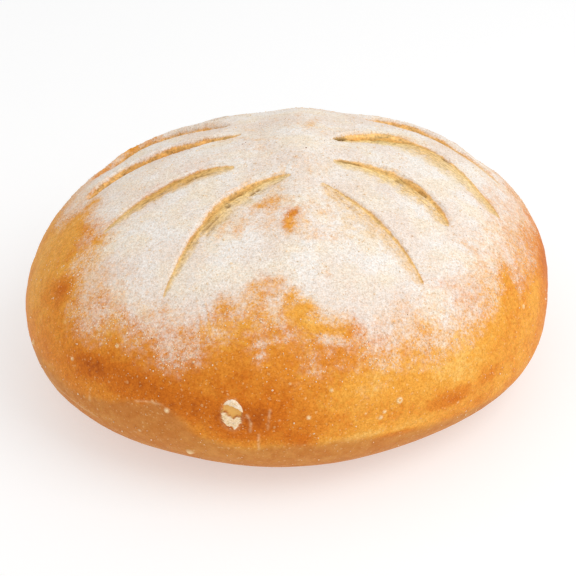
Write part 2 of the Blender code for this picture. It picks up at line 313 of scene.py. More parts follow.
def dome(azimuth, latitude, inward):
    return open_dome(azimuth, latitude, inward) - FOOTPRINT_MIDDLE


def dome_at(degrees):
    """The dome's points at rows of (azimuth, latitude) in degrees."""
    azimuth, latitude = np.radians(np.atleast_2d(degrees)).T
    return dome(azimuth, latitude, np.ones(len(azimuth)))


def plan_to_angles(plan):
    share = np.clip(np.linalg.norm(plan, axis=1), 1e-6, 1)
    return np.arctan2(plan[:, 1], plan[:, 0]), np.arccos(share ** (SIDE_FULLNESS / 2))


def angles_to_plan(azimuth, latitude):
    share = np.clip(np.cos(np.maximum(latitude, 0)), 0, 1) ** (2 / SIDE_FULLNESS)
    return np.stack([share * np.cos(azimuth), share * np.sin(azimuth)], 1)


def sag(plan):
    """How far the dome has sunk at points in plan."""
    drop = np.zeros(len(plan))
    for middle, size, amount in SAGS:
        drop += amount * np.exp(-(((plan - middle) / size) ** 2).sum(1))
    return drop


def sphere_to_angles(directions):
    """(azimuth, latitude, inward) of the loaf's points that unit vectors stand for."""
    azimuth = np.arctan2(directions[:, 1], directions[:, 0])
    latitude = np.arcsin(np.clip(directions[:, 2], -1, 1))
    tucked = np.maximum(latitude / TUCK_ANGLE, -1) * math.pi / 2
    inward = np.minimum(np.cos(latitude) / math.cos(TUCK_ANGLE), 1)
    inward = np.where(latitude < -TUCK_ANGLE, inward, 1)
    return azimuth, np.where(latitude < 0, tucked, latitude), inward


def place_on_slash(slash, plan):
    """(share of the way along, metres in front of the centreline, unit vector forward)."""
    t = np.linspace(0, 1, PATH_STEPS + 1)[:, None]
    start, bend, end = (np.array(p) for p in (slash.start, slash.bend, slash.end))
    line = (1 - t) ** 2 * start + 2 * t * (1 - t) * bend + t**2 * end
    nearest = np.full(len(plan), np.inf)
    along = np.zeros(len(plan))
    across = np.zeros(len(plan))
    forward = np.zeros((len(plan), 2))
    for i, (a, b) in enumerate(zip(line, line[1:])):
        piece = b - a
        share = np.clip((plan - a) @ piece / (piece @ piece), 0, 1)
        offset = plan - a - share[:, None] * piece
        distance = np.linalg.norm(offset, axis=1)
        front = np.array([piece[1], -piece[0]]) / np.linalg.norm(piece)
        front *= 1 if piece[0] > 0 else -1
        closer = distance < nearest
        nearest = np.where(closer, distance, nearest)
        along = np.where(closer, (i + share) / PATH_STEPS, along)
        across = np.where(closer, np.sign(offset @ front) * distance, across)
        forward = np.where(closer[:, None], front, forward)
    return along, across * RADIUS, forward


def slash_taper(along):
    return np.clip(np.sin(math.pi * along), 0, 1) ** 0.35


def at_share(along, values):
    """In between a slash's values at its start, halfway and at its end."""
    return np.interp(along, (0, 0.5, 1), values)


def smooth_rows(rows, steps=8):
    """Rows joined by a smooth curve, as arrays for np.interp."""
    rows = np.array(rows)
    padded = np.vstack([rows[0], rows, rows[-1]])
    points = []
    for a, b, c, d in zip(padded, padded[1:], padded[2:], padded[3:]):
        for t in np.arange(steps) / steps:
            cubic = 2 * b + (c - a) * t + (2 * a - 5 * b + 4 * c - d) * t * t
            points.append((cubic + (3 * b - a - 3 * c + d) * t**3) / 2)
    points.append(rows[-1])
    return np.array(points).T


def ring_value(rows, azimuth, column=1):
    """A value given at some azimuths in degrees, in between them too."""
    degrees = [row[0] for row in rows]
    values = [row[column] for row in rows]
    return np.interp(np.degrees(azimuth), degrees, values, period=360)


def noise_at(points, spacing, seed, octaves=3):
    """Smooth noise from about -1 to 1 at each point, with features of that spacing."""
    shift = Vector((seed * 7.31, seed * 3.17, seed * 5.71))
    return np.array(
        [noise.fractal(Vector(p / spacing) + shift, 1.0, 2.0, octaves) for p in points]
    )


def read(items, name, width, kind=float):
    """One property of all the items, with a row of that width for each."""
    values = np.empty(len(items) * width, kind)
    items.foreach_get(name, values)
    return values.reshape(-1, width)


def read_points(mesh):
    return read(mesh.vertices, "co", 3)


def write_points(mesh, points):
    mesh.vertices.foreach_set("co", points.ravel())
    mesh.update()


def read_normals(mesh):
    return read(mesh.vertex_normals, "vector", 3)


def read_triangles(mesh):
    return read(mesh.loops, "vertex_index", 1, int).reshape(-1, 3)


def store(mesh, name, values):
    """Keeps one number for each vertex, for the materials to read."""
    attribute = mesh.attributes.new(name, "FLOAT", "POINT")
    attribute.data.foreach_set("value", values.astype(np.float32))


def start_piece(add, **settings):
    """Adds a primitive with nothing else selected, and returns it."""
    if bpy.context.object and bpy.context.object.mode != "OBJECT":
        bpy.ops.object.mode_set(mode="OBJECT")
    bpy.ops.object.select_all(action="DESELECT")
    add(**settings)
    return bpy.context.object


def finish_piece(piece, name, material):
    piece.name = name
    piece.data.name = name
    piece.data.materials.clear()
    piece.data.materials.append(material)
    piece.data.shade_smooth()
    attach(piece, "root")


def refine(piece, near):
    """Halves the faces that touch a chosen vertex."""
    mesh = piece.data
    chosen = near[read_triangles(mesh)].any(1)
    mesh.vertices.foreach_set("select", np.zeros(len(mesh.vertices), bool))
    mesh.edges.foreach_set("select", np.zeros(len(mesh.edges), bool))
    mesh.polygons.foreach_set("select", chosen)
    bpy.ops.object.mode_set(mode="EDIT")
    bpy.ops.mesh.select_mode(type="FACE")
    bpy.ops.mesh.subdivide(number_cuts=1)
    bpy.ops.mesh.select_all(action="SELECT")
    bpy.ops.mesh.quads_convert_to_tris()
    bpy.ops.object.mode_set(mode="OBJECT")


def unit(points):
    return points / np.linalg.norm(points, axis=1, keepdims=True)


def slash_section(slash, along, across, rough, number):
    """Place in the slash's cross section of points near it, with ragged edges."""
    taper = np.maximum(slash_taper(along), 0.12)
    wander = 0.0007 * noise_at(rough, 0.013, number, 1)
    wander += 0.00026 * noise_at(rough, 0.0022, number + 30, 2)
    across = across + wander * taper
    floor = at_share(along, slash.floor) * (1 + 0.25 * noise_at(rough, 0.009, number + 45, 1))
    reach = np.where(across < 0, at_share(along, slash.back), floor) * taper
    return across / reach, reach


def near_slashes(directions, behind, ahead):
    """Which points lie near a gash, or on its floor, in shares of their reaches."""
    azimuth, latitude, _ = sphere_to_angles(directions)
    plan = angles_to_plan(azimuth, latitude)
    near = np.zeros(len(plan), bool)
    for slash in SLASHES:
        along, across, _ = place_on_slash(slash, plan)
        back = at_share(along, slash.back)
        near |= (across > -behind * back) & (across < ahead * at_share(along, slash.floor))
    return near & (latitude > 0)


class Tear:
    """What the slashes do to each point of the crust.

    Slide moves a point in plan, and drop and step move it up. Torn, lip and gash say from
    0 to 1 how much of each it is, and crack from 0 to 1 how much painted shade darkens the
    cracks there. Section, along and ahead are its place on the nearest torn slash, and
    nearest is its distance from any of them.
    """

    def __init__(self, count):
        for name in ("drop", "step", "torn", "lip", "gash", "crack", "along", "ahead"):
            setattr(self, name, np.zeros(count))
        self.slide = np.zeros((count, 2))
        self.section = np.full(count, SECTION[-1][0])
        self.nearest = np.full(count, np.inf)


def crack_lines(number, along, q, reach, rough):
    """How strongly the cracks of one slash show at points near it, from 0 to 1, as depth
    and as painted shade.
    """
    dark = np.zeros(len(along))
    q = q + 0.0004 * noise_at(rough, 0.005, number + 75, 2) / reach
    for slash, start, end, place, half_width, darkness in CRACKS:
        if slash + 1 == number:
            stretch = smooth_step((along - start) / 0.03 + 0.5)
            stretch *= smooth_step((end - along) / 0.03 + 0.5)
            line = bell((q - place) * reach, half_width)
            dark = np.maximum(dark, darkness * stretch * line)
    return dark


def tear_slashes(plan, upper, rough):
    """Tears all the slashes, at points given in plan and at their rough places."""
    tear = Tear(len(plan))
    rows = smooth_rows(SECTION)
    limit = -SECTION[0][0]
    for number, slash in enumerate(SLASHES, 1):
        along, across, forward = place_on_slash(slash, plan)
        near = upper & (np.abs(across) < limit * max(*slash.back, *slash.floor))
        share = along[near]
        spots = rough[near]
        q, reach = slash_section(slash, share, across[near], spots, number)
        taper = slash_taper(share)
        uneven = 1 + 0.35 * noise_at(spots, 0.009, number + 15, 2)
        depth = at_share(share, slash.depth) * taper * uneven
        holes = smooth_step(noise_at(spots, 0.0035, number + 60, 2) * 1.6 - 0.1)
        pits = smooth_step(noise_at(spots, 0.0021, number + 90, 2) * 2.0 - 0.55)
        cracks = crack_lines(number, share, q, reach, spots)
        level = np.interp(q, rows[0], rows[2])
        level -= 0.45 * holes * bell(q - CREVICE, 0.16)
        level -= 0.20 * pits * smooth_step((q + 0.4) / 0.2) * smooth_step((0.8 - q) / 0.5)
        shift = (np.interp(q, rows[0], rows[1]) - q) * reach * (np.abs(q) < limit)
        tear.slide[near] += forward[near] * (shift / RADIUS)[:, None]
        tear.drop[near] += level * depth - CRACK_DEPTH * cracks
        tear.step += terrace(slash, along, across) * upper
        front = 1.5 + 0.7 * noise_at(spots, 0.005, number + 105, 2)
        gash = np.clip(depth / DEEP_GASH, 0, 1)
        open_skin = smooth_step((q - LIP_EDGE) / (0.14 + 0.7 * (1 - gash)))
        open_skin *= smooth_step(front - q)
        dulled = (1 - slash.bare) * smooth_step((q - CREVICE) / 0.5)
        torn = open_skin * smooth_step(taper * 3) * (1 - dulled)
        deeper = torn > tear.torn[near]
        chosen = near.copy()
        chosen[near] = deeper
        tear.section[chosen] = np.clip(q, -limit, limit)[deeper]
        tear.gash[chosen] = gash[deeper]
        tear.along[chosen] = along[chosen] * RADIUS
        tear.ahead[chosen] = across[chosen]
        tear.torn[near] = np.maximum(tear.torn[near], torn)
        tear.lip[near] = np.maximum(tear.lip[near], taper * bell(q + 1.18, 0.20))
        # How much painted shade darkens the cracks, for the material.
        tear.crack[near] = np.maximum(tear.crack[near], cracks)
        tear.nearest = np.minimum(tear.nearest, np.abs(across))
    return tear


def terrace(slash, along, across):
    """The dough stands a little higher behind a slash and sinks in front of it."""
    back = at_share(along, slash.back)
    behind = smooth_step((-0.55 * back - across) / (0.5 * back))
    rise = RIDGE_HEIGHT * bell(np.minimum(across + back, 0), RIDGE_REACH)
    fall = slash.ear * bell(np.maximum(across, 0), STEP_REACH)
    strength = np.clip(at_share(along, slash.depth) / DEEP_GASH, 0, 1)
    return strength * slash_taper(along) * (behind * rise - (1 - behind) * fall)


def flour_cover(plan, latitude, rough, tear):
    """How thickly flour lies, from 0 for none to about 1.2."""
    azimuth = np.arctan2(plan[:, 1], plan[:, 0])
    share = np.linalg.norm(plan, axis=1)
    full = ring_value(FLOUR_RIM, azimuth, 1)
    bare = ring_value(FLOUR_RIM, azimuth, 2)
    cover = 1.25 * np.clip((np.degrees(latitude) - bare) / (full - bare), 0, 1)
    uneven = 1 + 0.6 * noise_at(rough, 0.007, 47, 3)
    wandering = np.stack([noise_at(rough, 0.012, 48, 3), noise_at(rough, 0.012, 49, 3)], 1)
    for x, y, width, length, amount in FLOUR_PATCHES:
        away = (plan + 0.024 * wandering - (x, y)) / (width, length)
        cover += amount * uneven * np.exp(-(away**2).sum(1))
    cover += 0.16 * noise_at(rough, 0.016, 41, 3) * smooth_step(cover * 4)
    turn = np.stack([np.cos(azimuth) * 0.05, np.sin(azimuth) * 0.05, share * 0.03], 1)
    streaks = smooth_step(noise_at(turn, 0.0065, 46, 3) * 1.4 + 0.35)
    cover -= 0.42 * streaks * bell(share - 0.16, 0.20)
    cover -= 0.35 * tear.lip
    swept = 1 - tear.torn * smooth_step((1.6 - tear.section) / 1.5)
    return np.where(latitude > 0, np.clip(cover, 0, 1.4) * swept, 0)


def bake_level(azimuth, latitude, rough):
    """How brown the crust is, from 0 for pale to 1."""
    bake = np.full(len(azimuth), BASE_BAKE)
    azimuth = np.degrees(azimuth)
    latitude = np.degrees(latitude)
    for middle, height, width, rise, amount in BAKE_ZONES:
        turn = (azimuth - middle + 180) % 360 - 180
        bake += amount * np.exp(-((turn / width) ** 2) - ((latitude - height) / rise) ** 2)
    bake += UNDERSIDE_BAKE * smooth_step((-60 - latitude) / 30)
    return bake + 0.10 * noise_at(rough, 0.022, 43, 3)


def steam_level(azimuth, latitude, rough):
    edge = ring_value(STEAM_EDGE, azimuth) + 1.2 * noise_at(rough, 0.009, 44, 2)
    softness = np.interp(np.abs(np.degrees(azimuth) - STEAM_SHARPEST), (7, 18), (2.5, 8.5))
    return smooth_step((edge - np.degrees(latitude)) / softness + 0.5)


def spare_blisters(settings):
    """Small blisters at random places, as rows like those of BLISTERS."""
    random = np.random.default_rng(settings.seed)
    rows = []
    for _ in range(SPARE_BLISTERS):
        azimuth = random.uniform(-180, 180)
        latitude = random.uniform(*SPARE_LATITUDES)
        radius = random.uniform(*SPARE_RADII)
        rows.append((azimuth, latitude, radius, 0.28 * radius))
    return rows


def crease_points(crease):
    """Points every half millimetre or so along a crease."""
    rows = np.array(crease)
    steps = np.linspace(0, len(rows) - 1, 24 * len(rows))
    index = np.minimum(steps.astype(int), len(rows) - 2)
    share = (steps - index)[:, None]
    return dome_at(rows[index] * (1 - share) + rows[index + 1] * share)


def burst_frame():
    """(middle of the burst blister, unit vectors to its right and up, metres a degree)"""
    azimuth, latitude = BURST_MIDDLE
    middle = dome_at(BURST_MIDDLE)[0]
    right = dome_at((azimuth + 1, latitude))[0] - middle
    up = dome_at((azimuth, latitude + 1))[0] - middle
    degree = np.linalg.norm(up)
    right /= np.linalg.norm(right)
    up -= right * (up @ right)
    up /= np.linalg.norm(up)
    return middle, right, up, degree


def burst_place(points):
    """Right and up from the middle of the burst blister, in its half sizes."""
    middle, right, up, _ = burst_frame()
    away = points - middle
    place = np.stack([away @ right, away @ up], 1) / np.array(BURST_SIZE)
    place[np.linalg.norm(away, axis=1) > 3 * max(BURST_SIZE)] = 9
    return place


def distance_from(rough, azimuth, latitude):
    return np.linalg.norm(rough - dome_at((azimuth, latitude))[0], axis=1)


def skin_relief(rough, blisters):
    """(height, pale skin from 0 to 1, creases) of the blisters and creases."""
    height = np.zeros(len(rough))
    pale = np.zeros(len(rough))
    folds = np.zeros(len(rough))
    for azimuth, latitude, radius, rise in blisters:
        distance = distance_from(rough, azimuth, latitude) / radius
        height += rise * hump(distance)
        pale = np.maximum(pale, min(1, radius / 0.0013) * hump(distance / 0.95) ** 0.7)
    azimuth, latitude, radius, rise = RING_BLISTER
    distance = distance_from(rough, azimuth, latitude) / radius
    ring = bell(distance - 0.62, 0.30)
    height += rise * ring
    pale = np.maximum(pale, ring)
    for number, crease in enumerate(CREASES):
        line = crease_points(crease)
        near = np.linalg.norm(rough - line.mean(0), axis=1) < 0.045
        distance = np.min(np.linalg.norm(rough[near, None] - line[None], axis=2), 1)
        distance += 0.0003 * noise_at(rough[near], 0.0016, number + 140, 1)
        broken = 0.35 + 0.65 * smooth_step(noise_at(rough[near], 0.004, number + 120, 1) + 0.6)
        fold = bell(distance, CREASE_WIDTH) * broken
        height[near] += CREASE_HEIGHT * fold
        pale[near] = np.maximum(pale[near], 0.38 * fold)
        folds[near] = np.maximum(folds[near], fold)
    return height, pale, folds


def burst_relief(rough):
    """(height, pale skin, raw inside) of the burst blister."""
    right, up = burst_place(rough).T
    wobble = 0.13 * noise_at(rough, 0.0018, 70, 2)
    from_middle = np.hypot(right, up) + wobble
    inside = smooth_step((1.02 - from_middle) / 0.10)
    rim = bell(from_middle - 1.05, 0.13)
    skin_top = np.interp(right, *zip(*SKIN_TOP)) + wobble
    skin_bottom = np.interp(right, *zip(*SKIN_BOTTOM)) + wobble
    skin = smooth_step((skin_top - up) / 0.06) * smooth_step((up - skin_bottom) / 0.08) * inside
    raw = inside * smooth_step((up - skin_top) / 0.06)
    cracks = np.abs(noise_at(rough, 0.0022, 71, 1))
    height = -BURST_DEPTH * raw * smooth_step((1 - from_middle) / 0.35 + 0.3)
    height += 0.00015 * rim + skin * (0.0004 - 0.0004 * smooth_step(1 - cracks / 0.12))
    return height, np.maximum(skin, 0.12 * rim * (from_middle < 1.3)), raw


def feature_spots(blisters):
    """(middle, reach) of each place that needs a finer mesh."""
    spots = [(dome_at(row[:2])[0], 1.2 * row[2]) for row in (*blisters, RING_BLISTER)]
    spots.append((dome_at(BURST_MIDDLE)[0], 1.15 * max(BURST_SIZE)))
    for crease in CREASES:
        spots += [(point, 1.8 * CREASE_WIDTH) for point in crease_points(crease)[::3]]
    return spots


def near_spots(directions, spots, margin):
    rough = dome(*sphere_to_angles(directions))
    near = np.zeros(len(rough), bool)
    for middle, reach in spots:
        near |= np.abs(rough - middle).max(1) < reach + margin
    return near


class LoafShape(bpy.types.PropertyGroup):
    spine_height: bpy.props.FloatProperty(
        name="Spine height", default=0.0024, unit="LENGTH",
        description="How far the crust swells along the uncut middle of the fern",
    )
    spine_reach: bpy.props.FloatProperty(
        name="Spine reach", default=0.0125, unit="LENGTH",
        description="Half the width of that swelling",
    )
    valley_depth: bpy.props.FloatProperty(
        name="Valley depth", default=0.0004, unit="LENGTH",
        description="How far the crust sinks towards each slash",
    )
    valley_reach: bpy.props.FloatProperty(
        name="Valley reach", default=0.0095, unit="LENGTH",
        description="How far from a slash the sinking reaches",
    )
    lump_height: bpy.props.FloatProperty(
        name="Lump height", default=0.0010, unit="LENGTH",
        description="Height of the broad lumps of the dough",
    )
    lump_spacing: bpy.props.FloatProperty(
        name="Lump spacing", default=0.035, unit="LENGTH",
        description="Distance between those lumps",
    )
    skin_height: bpy.props.FloatProperty(
        name="Skin height", default=0.00024, unit="LENGTH",
        description="Height of the small dimples and swellings of the crust",
    )
    torn_height: bpy.props.FloatProperty(
        name="Torn height", default=0.00012, unit="LENGTH",
        description="Roughness of the crumb that shows in the slashes",
    )
    seed: bpy.props.IntProperty(
        name="Seed", description="Start of the random places of small blisters", default=11
    )


class LoafFlour(bpy.types.PropertyGroup):
    colour: bpy.props.FloatVectorProperty(
        name="Flour colour", default=(0.93, 0.885, 0.83), subtype="COLOR",
        description="Colour of the dry flour",
    )
    grain_count: bpy.props.IntProperty(
        name="Grain count", description="How many loose grains lie on the crust", default=9000
    )
    crumb_count: bpy.props.IntProperty(
        name="Crumb count", description="How many dark toasted crumbs lie on it", default=60
    )
    seed: bpy.props.IntProperty(
        name="Seed", description="Start of the random scatter of grains", default=4
    )


class LoafStage(bpy.types.PropertyGroup):
    elevation: bpy.props.FloatProperty(
        name="Camera elevation", default=math.radians(31), subtype="ANGLE",
        description="How steeply the camera looks down",
    )
    distance: bpy.props.FloatProperty(
        name="Camera distance", default=5.2672 * RADIUS, unit="LENGTH",
        description="From the camera to the middle of the view",
    )
    aim_height: bpy.props.FloatProperty(
        name="Aim height", default=0.2413 * RADIUS, unit="LENGTH",
        description="Height of the middle of the view",
    )
    aim_right: bpy.props.FloatProperty(
        name="Aim to the right", default=-0.0009, unit="LENGTH",
        description="Place of the middle of the view, to the right of the loaf's middle",
    )


def build_crust(shape):
    """The loaf's surface, with the masks that its material reads."""
    loaf = start_piece(bpy.ops.mesh.primitive_ico_sphere_add, subdivisions=6, radius=1)
    mesh = loaf.data
    refine(loaf, read_points(mesh)[:, 2] > math.sin(FINE_FROM))
    blisters = (*BLISTERS, *spare_blisters(shape))
    spots = feature_spots(blisters)
    for behind, ahead, margin in FINE_ROUNDS:
        directions = unit(read_points(mesh))
        near = near_slashes(directions, behind, ahead)
        refine(loaf, near | near_spots(directions, spots, margin))
    azimuth, latitude, inward = sphere_to_angles(unit(read_points(mesh)))
    upper = latitude > 0
    plan = angles_to_plan(azimuth, latitude)
    rough = dome(azimuth, latitude, inward)
    tear = tear_slashes(plan, upper, rough)

    slid_azimuth, slid_latitude = plan_to_angles(plan + tear.slide)
    moved = upper & (tear.slide != 0).any(1)
    points = dome(
        np.where(moved, slid_azimuth, azimuth), np.where(moved, slid_latitude, latitude), inward
    )
    write_points(mesh, points)
    normals = read_normals(mesh)

    spine = bell(plan[:, 0] * RADIUS, shape.spine_reach)
    fern_end = 1 / (1 + np.exp((np.linalg.norm(plan, axis=1) - FERN_END) / FERN_FADE))
    relief = shape.spine_height * spine * fern_end
    relief -= shape.valley_depth * bell(tear.nearest, shape.valley_reach)
    relief = np.where(upper, relief - sag(plan), 0)
    standing = np.clip(points[:, 2] / WIDEST_HEIGHT, 0, 1)
    open_points = (points + FOOTPRINT_MIDDLE) / shape.lump_spacing
    lumps = np.array([noise.noise(Vector(p)) for p in open_points])
    relief += shape.lump_height * lumps * standing
    relief += shape.skin_height * noise_at(points, 0.006, 21, 4) * standing * (1 - tear.torn)
    relief += tear.drop + tear.step
    relief += shape.torn_height * noise_at(points, 0.0018, 22, 2) * tear.torn
    blister_height, pale, folds = skin_relief(rough, blisters)
    burst_height, burst_skin, raw = burst_relief(rough)
    whole = 1 - (np.hypot(*burst_place(rough).T) < 1.2)
    relief += blister_height * (1 - tear.torn) * whole + burst_height
    pale = np.maximum(pale * (1 - tear.torn) * whole, burst_skin)
    points = points + normals * relief[:, None]
    under = inward < 0.99
    pits = UNDERSIDE_PITS * np.clip(noise_at(points, 0.008, 23, 4) + 0.25, 0, 1)
    points[:, 2] = np.where(under, pits, np.maximum(points[:, 2], 0))
    write_points(mesh, points)

    # One of these masks is the painted shade of the cracks.
    for name in ("torn", "section", "along", "ahead", "gash", "crack"):
        store(mesh, name, getattr(tear, name))
    cover = flour_cover(plan, latitude, rough, tear) - 0.5 * folds
    store(mesh, "flour", np.maximum(cover, 0.22 * (burst_skin > 0.5)))
    store(mesh, "bake", bake_level(azimuth, latitude, rough))
    store(mesh, "steam", steam_level(azimuth, latitude, rough))
    store(mesh, "pale", pale)
    store(mesh, "raw", raw)
    return loaf


def lay_crumbs(name, ground, weights, count, sizes, seed):
    """Many small uneven lumps laid on the crust, as one mesh.

    Weights says how likely each of the ground's vertices is to carry one, and sizes is
    the median half width and the spread of its logarithm.
    """
    random = np.random.default_rng(seed)
    lump = start_piece(bpy.ops.mesh.primitive_ico_sphere_add, subdivisions=1, radius=1)
    shape = read_points(lump.data)
    faces = read_triangles(lump.data)
    mesh = ground.data
    points = read_points(mesh)
    normals = read_normals(mesh)
    triangles = read_triangles(mesh)
    corners = points[triangles]
    area = np.linalg.norm(
        np.cross(corners[:, 1] - corners[:, 0], corners[:, 2] - corners[:, 0]), axis=1
    )
    chance = area * weights[triangles].mean(1)
    chosen = random.choice(len(triangles), count, p=chance / chance.sum())
    share = random.dirichlet((1, 1, 1), count)
    place = (corners[chosen] * share[:, :, None]).sum(1)
    up = unit((normals[triangles[chosen]] * share[:, :, None]).sum(1))
    aside = unit(np.cross(up, random.normal(size=(count, 3))))
    ahead = np.cross(up, aside)
    size = sizes[0] * np.clip(random.lognormal(0, sizes[1], count), 0.5, 2.2)
    stretch = random.uniform(0.75, 1.35, (count, 1)) * size[:, None]
    height = random.uniform(0.45, 0.85, (count, 1)) * size[:, None]
    uneven = 1 + 0.24 * random.normal(size=(count, len(shape), 1))
    local = shape[None] * np.clip(uneven, 0.45, 1.6)
    lumps = (
        place[:, None]
        + local[:, :, :1] * (aside * stretch)[:, None]
        + local[:, :, 1:2] * (ahead * size[:, None])[:, None]
        + (local[:, :, 2:] + 0.45) * (up * height)[:, None]
    )
    lumps[:, :, 2] = np.maximum(lumps[:, :, 2], 0)
    offsets = np.arange(count)[:, None, None] * len(shape)
    joined = bpy.data.meshes.new(name)
    joined.from_pydata(lumps.reshape(-1, 3), [], (faces[None] + offsets).reshape(-1, 3))
    bpy.data.meshes.remove(lump.data)
    piece = bpy.data.objects.new(name, joined)
    bpy.context.scene.collection.objects.link(piece)
    return piece


def read_values(mesh, name):
    return read(mesh.attributes[name].data, "value", 1, np.float32).ravel().astype(float)


class Wiring:
    """Adds nodes to one tree and joins their sockets."""

    def __init__(self, tree):
        self.tree = tree

    def add(self, kind, **settings):
        node = self.tree.nodes.new("ShaderNode" + kind)
        for name, value in settings.items():
            setattr(node, name, value)
        return node

    def feed(self, socket, value):
        if isinstance(value, bpy.types.NodeSocket):
            self.tree.links.new(value, socket)
        elif socket.type == "RGBA":
            socket.default_value = (*value, 1)
        else:
            socket.default_value = value

    def maths(self, operation, first, second=0.0, clamp=False):
        node = self.add("Math", operation=operation, use_clamp=clamp)
        self.feed(node.inputs[0], first)
        self.feed(node.inputs[1], second)
        return node.outputs[0]

    def total(self, first, *others):
        for other in others:
            first = self.maths("ADD", first, other)
        return first

    def times(self, first, second):
        return self.maths("MULTIPLY", first, second)

    def less(self, value):
        """1 less a value."""
        return self.maths("SUBTRACT", 1.0, value, clamp=True)

    def mix(self, factor, first, second, blend="MIX"):
        node = self.add("Mix", data_type="RGBA", blend_type=blend)
        self.feed(node.inputs[0], factor)
        self.feed(node.inputs[6], first)
        self.feed(node.inputs[7], second)
        return node.outputs[2]

    def step(self, value, low, high):
        """Rises smoothly from 0 at low to 1 at high."""
        node = self.add("MapRange", interpolation_type="SMOOTHSTEP")
        self.feed(node.inputs["Value"], value)
        self.feed(node.inputs["From Min"], low)
        self.feed(node.inputs["From Max"], high)
        return node.outputs[0]

    def ramp(self, value, stops):
        """A colour for each value, from rows of (value, colour)."""
        node = self.add("ValToRGB")
        node.color_ramp.interpolation = "EASE"
        elements = node.color_ramp.elements
        while len(elements) < len(stops):
            elements.new(0.5)
        for element, (place, colour) in zip(elements, stops):
            element.position = place
            element.color = (*colour, 1)
        self.feed(node.inputs[0], value)
        return node.outputs[0]

    def noise(self, position, size, detail=2.0, roughness=0.5, distortion=0.0):
        """Noise about zero, mostly within 0.3, with features of that size in metres."""
        node = self.add("TexNoise")
        self.feed(node.inputs["Vector"], position)
        self.feed(node.inputs["Scale"], 1 / size)
        self.feed(node.inputs["Detail"], detail)
        self.feed(node.inputs["Roughness"], roughness)
        self.feed(node.inputs["Distortion"], distortion)
        return self.maths("SUBTRACT", node.outputs["Fac"], 0.5)

    def cells(self, position, spacing):
        """(distance to the nearest of scattered points, a random number for it)."""
        node = self.add("TexVoronoi")
        self.feed(node.inputs["Vector"], position)
        self.feed(node.inputs["Scale"], 1 / spacing)
        random = self.add("SeparateColor")
        self.feed(random.inputs[0], node.outputs["Color"])
        return node.outputs["Distance"], random.outputs[0]

    def attribute(self, name):
        return self.add("Attribute", attribute_name=name).outputs["Fac"]

    def masks(self, *names):
        """The crust's attributes of these names, for sockets named alike."""
        return {name.capitalize(): self.attribute(name) for name in names}

    def vector(self, x, y, z):
        node = self.add("CombineXYZ")
        for socket, value in zip(node.inputs, (x, y, z)):
            self.feed(socket, value)
        return node.outputs[0]

    def group(self, tree, **inputs):
        node = self.add("Group", node_tree=tree)
        for name, value in inputs.items():
            self.feed(node.inputs[name], value)
        return node.outputs


def once(make):
    """Makes a node group when it is first asked for, and finds it again after that."""

    def find(*settings):
        return bpy.data.node_groups.get(make.__name__) or make(*settings)

    return find


def start_group(name, inputs, outputs):
    """(net, inputs, outputs) of a new node group."""
    tree = bpy.data.node_groups.new(name, "ShaderNodeTree")
    for socket, kind in inputs.items():
        tree.interface.new_socket(socket, in_out="INPUT", socket_type="NodeSocket" + kind)
    for socket, kind in outputs.items():
        tree.interface.new_socket(socket, in_out="OUTPUT", socket_type="NodeSocket" + kind)
    net = Wiring(tree)
    start = tree.nodes.new("NodeGroupInput")
    end = tree.nodes.new("NodeGroupOutput")
    return net, start.outputs, end.inputs


def mottle(net, place, colour, strengths):
    """A colour made a little lighter and darker from grain to grain, in each channel: partly
    grain of the surface's tone, partly painted shade of its fine dimples.
    """
    fine = net.noise(place, 0.0007, 2.0, 0.6)
    coarse = net.noise(place, 0.0019, 2.0, 0.6)
    grain = net.total(fine, net.times(coarse, 0.45))
    shades = [net.total(net.times(grain, strength), 1.0) for strength in strengths]
    return net.mix(1.0, colour, net.vector(*shades), "MULTIPLY")


BAKE_COLOURS = (
    (0.0, (0.94, 0.62, 0.24)), (0.14, (0.9, 0.48, 0.11)), (0.32, (0.85, 0.37, 0.05)),
    (0.55, (0.75, 0.25, 0.024)), (0.8, (0.64, 0.165, 0.01)), (1.0, (0.46, 0.1, 0.006)),
)
STEAM_COLOURS = ((0.57, 0.235, 0.066), (0.49, 0.17, 0.036))
SPECK_COLOUR = (0.94, 0.60, 0.27)
PALE_SKIN = (0.93, 0.68, 0.38)
PORE_COLOUR = (0.42, 0.12, 0.015)
RAW_DOUGH = (0.93, 0.52, 0.14)  # inside the burst blister
BURNT = (0.30, 0.16, 0.09)


